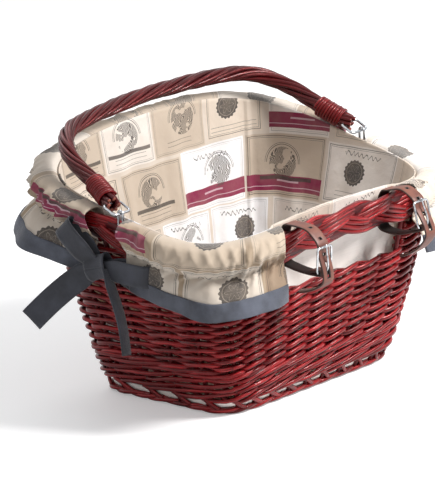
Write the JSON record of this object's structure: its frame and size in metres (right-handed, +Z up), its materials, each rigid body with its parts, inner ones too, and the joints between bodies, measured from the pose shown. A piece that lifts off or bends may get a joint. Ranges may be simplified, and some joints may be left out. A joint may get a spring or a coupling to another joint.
{
  "type": "bicycle basket",
  "caption": "Woven willow bicycle basket with a folding bound handle, a gathered cotton liner with side bows, and two buckled leather straps for the handlebar.",
  "frame": {"origin": "middle of the underside of the woven base, on the resting plane", "axes": "+Z up; X along the long sides; -Y towards the handlebar, the side that carries the straps"},
  "size_m": [0.4762, 0.3529, 0.2985],
  "materials": {
    "willow": "satin",
    "willow_dark": "satin",
    "cotton": "matte",
    "ribbon": "matte",
    "leather": "satin",
    "chrome": "polished",
    "steel": "satin"
  },
  "bodies": {
    "basket": {"base_panel": "willow_dark", "foot_border": "willow", "lower_wale": "willow", "side_weave": "willow", "rim_border": "willow", "stake_01": "willow_dark", "stake_02": "willow_dark", "stake_03": "willow_dark", "stake_04": "willow_dark", "stake_05": "willow_dark", "stake_06": "willow_dark", "stake_07": "willow_dark", "stake_08": "willow_dark", "stake_09": "willow_dark", "stake_10": "willow_dark", "stake_11": "willow_dark", "stake_12": "willow_dark", "stake_13": "willow_dark", "stake_14": "willow_dark", "stake_15": "willow_dark", "stake_16": "willow_dark", "stake_17": "willow_dark", "stake_18": "willow_dark", "stake_19": "willow_dark", "stake_20": "willow_dark", "stake_21": "willow_dark", "stake_22": "willow_dark", "stake_23": "willow_dark", "stake_24": "willow_dark", "stake_25": "willow_dark", "stake_26": "willow_dark", "stake_27": "willow_dark", "stake_28": "willow_dark", "rim_staple_near": "steel", "rim_staple_far": "steel", "liner_bag": "cotton", "liner_flap_left": "cotton", "liner_flap_back": "cotton", "liner_flap_right": "cotton", "liner_trim_left": "ribbon", "liner_trim_back": "ribbon", "liner_trim_right": "ribbon", "bow_near": "ribbon", "bow_far": "ribbon"},
    "handle": {"handle_hoop": "willow", "handle_binding_near": "willow_dark", "handle_binding_far": "willow_dark", "handle_link_near": "steel", "handle_link_far": "steel"},
    "strap_left": {"strap_left": "leather", "buckle_left": "chrome"},
    "prong_left": {"buckle_prong_left": "chrome"},
    "strap_right": {"strap_right": "leather", "buckle_right": "chrome"},
    "prong_right": {"buckle_prong_right": "chrome"}
  },
  "joints": [
    {"name": "handle_swing", "type": "hinge", "parent": "basket", "child": "handle", "pos_m": [0, -0.004, 0.2246], "axis": [1, 0, 0], "range_deg": [0, 138]},
    {"name": "strap_left_slide", "type": "slide", "parent": "basket", "child": "strap_left", "axis": [0.9986, -0.0165, 0.0509], "range_m": [-0.003, 0.04]},
    {"name": "strap_right_slide", "type": "slide", "parent": "basket", "child": "strap_right", "axis": [0.9977, 0.0272, -0.0624], "range_m": [-0.04, 0.003]},
    {"name": "prong_left_turn", "type": "hinge", "parent": "strap_left", "child": "prong_left", "pos_m": [-0.07435, -0.17751, 0.16009], "axis": [1, 0, 0], "range_deg": [0, 75]},
    {"name": "prong_right_turn", "type": "hinge", "parent": "strap_right", "child": "prong_right", "pos_m": [0.08616, -0.18233, 0.17184], "axis": [1, 0, 0], "range_deg": [0, 75]}
  ]
}
